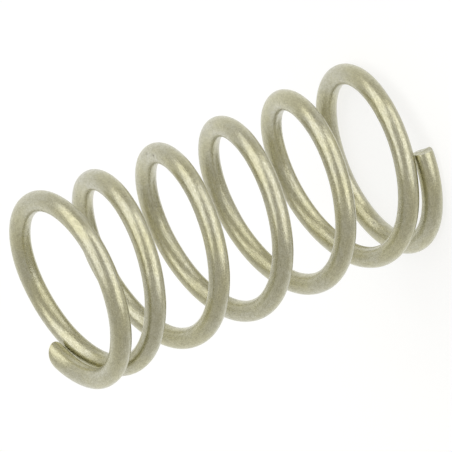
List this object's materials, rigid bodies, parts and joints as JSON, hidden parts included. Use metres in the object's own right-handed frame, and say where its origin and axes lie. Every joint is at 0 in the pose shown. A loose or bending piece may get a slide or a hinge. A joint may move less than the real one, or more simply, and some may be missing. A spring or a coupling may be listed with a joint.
{
  "type": "compression spring",
  "caption": "Small open-coiled compression spring of round steel wire, wound left-hand, with closed unground ends cut off short.",
  "frame": {"origin": "on the coil's axis, in the plane that the lower end coil stands on", "axes": "+Z along the coil's axis, from the square-cut lower end to the slant-cut upper end; +X towards the lower tip of the wire"},
  "size_m": [0.0096, 0.0096, 0.0185],
  "materials": {
    "spring_wire": "drawn wire, satin, warm olive grey with fine grain along the wire"
  },
  "bodies": {
    "root": {"coil_spring": "spring_wire"}
  },
  "joints": []
}
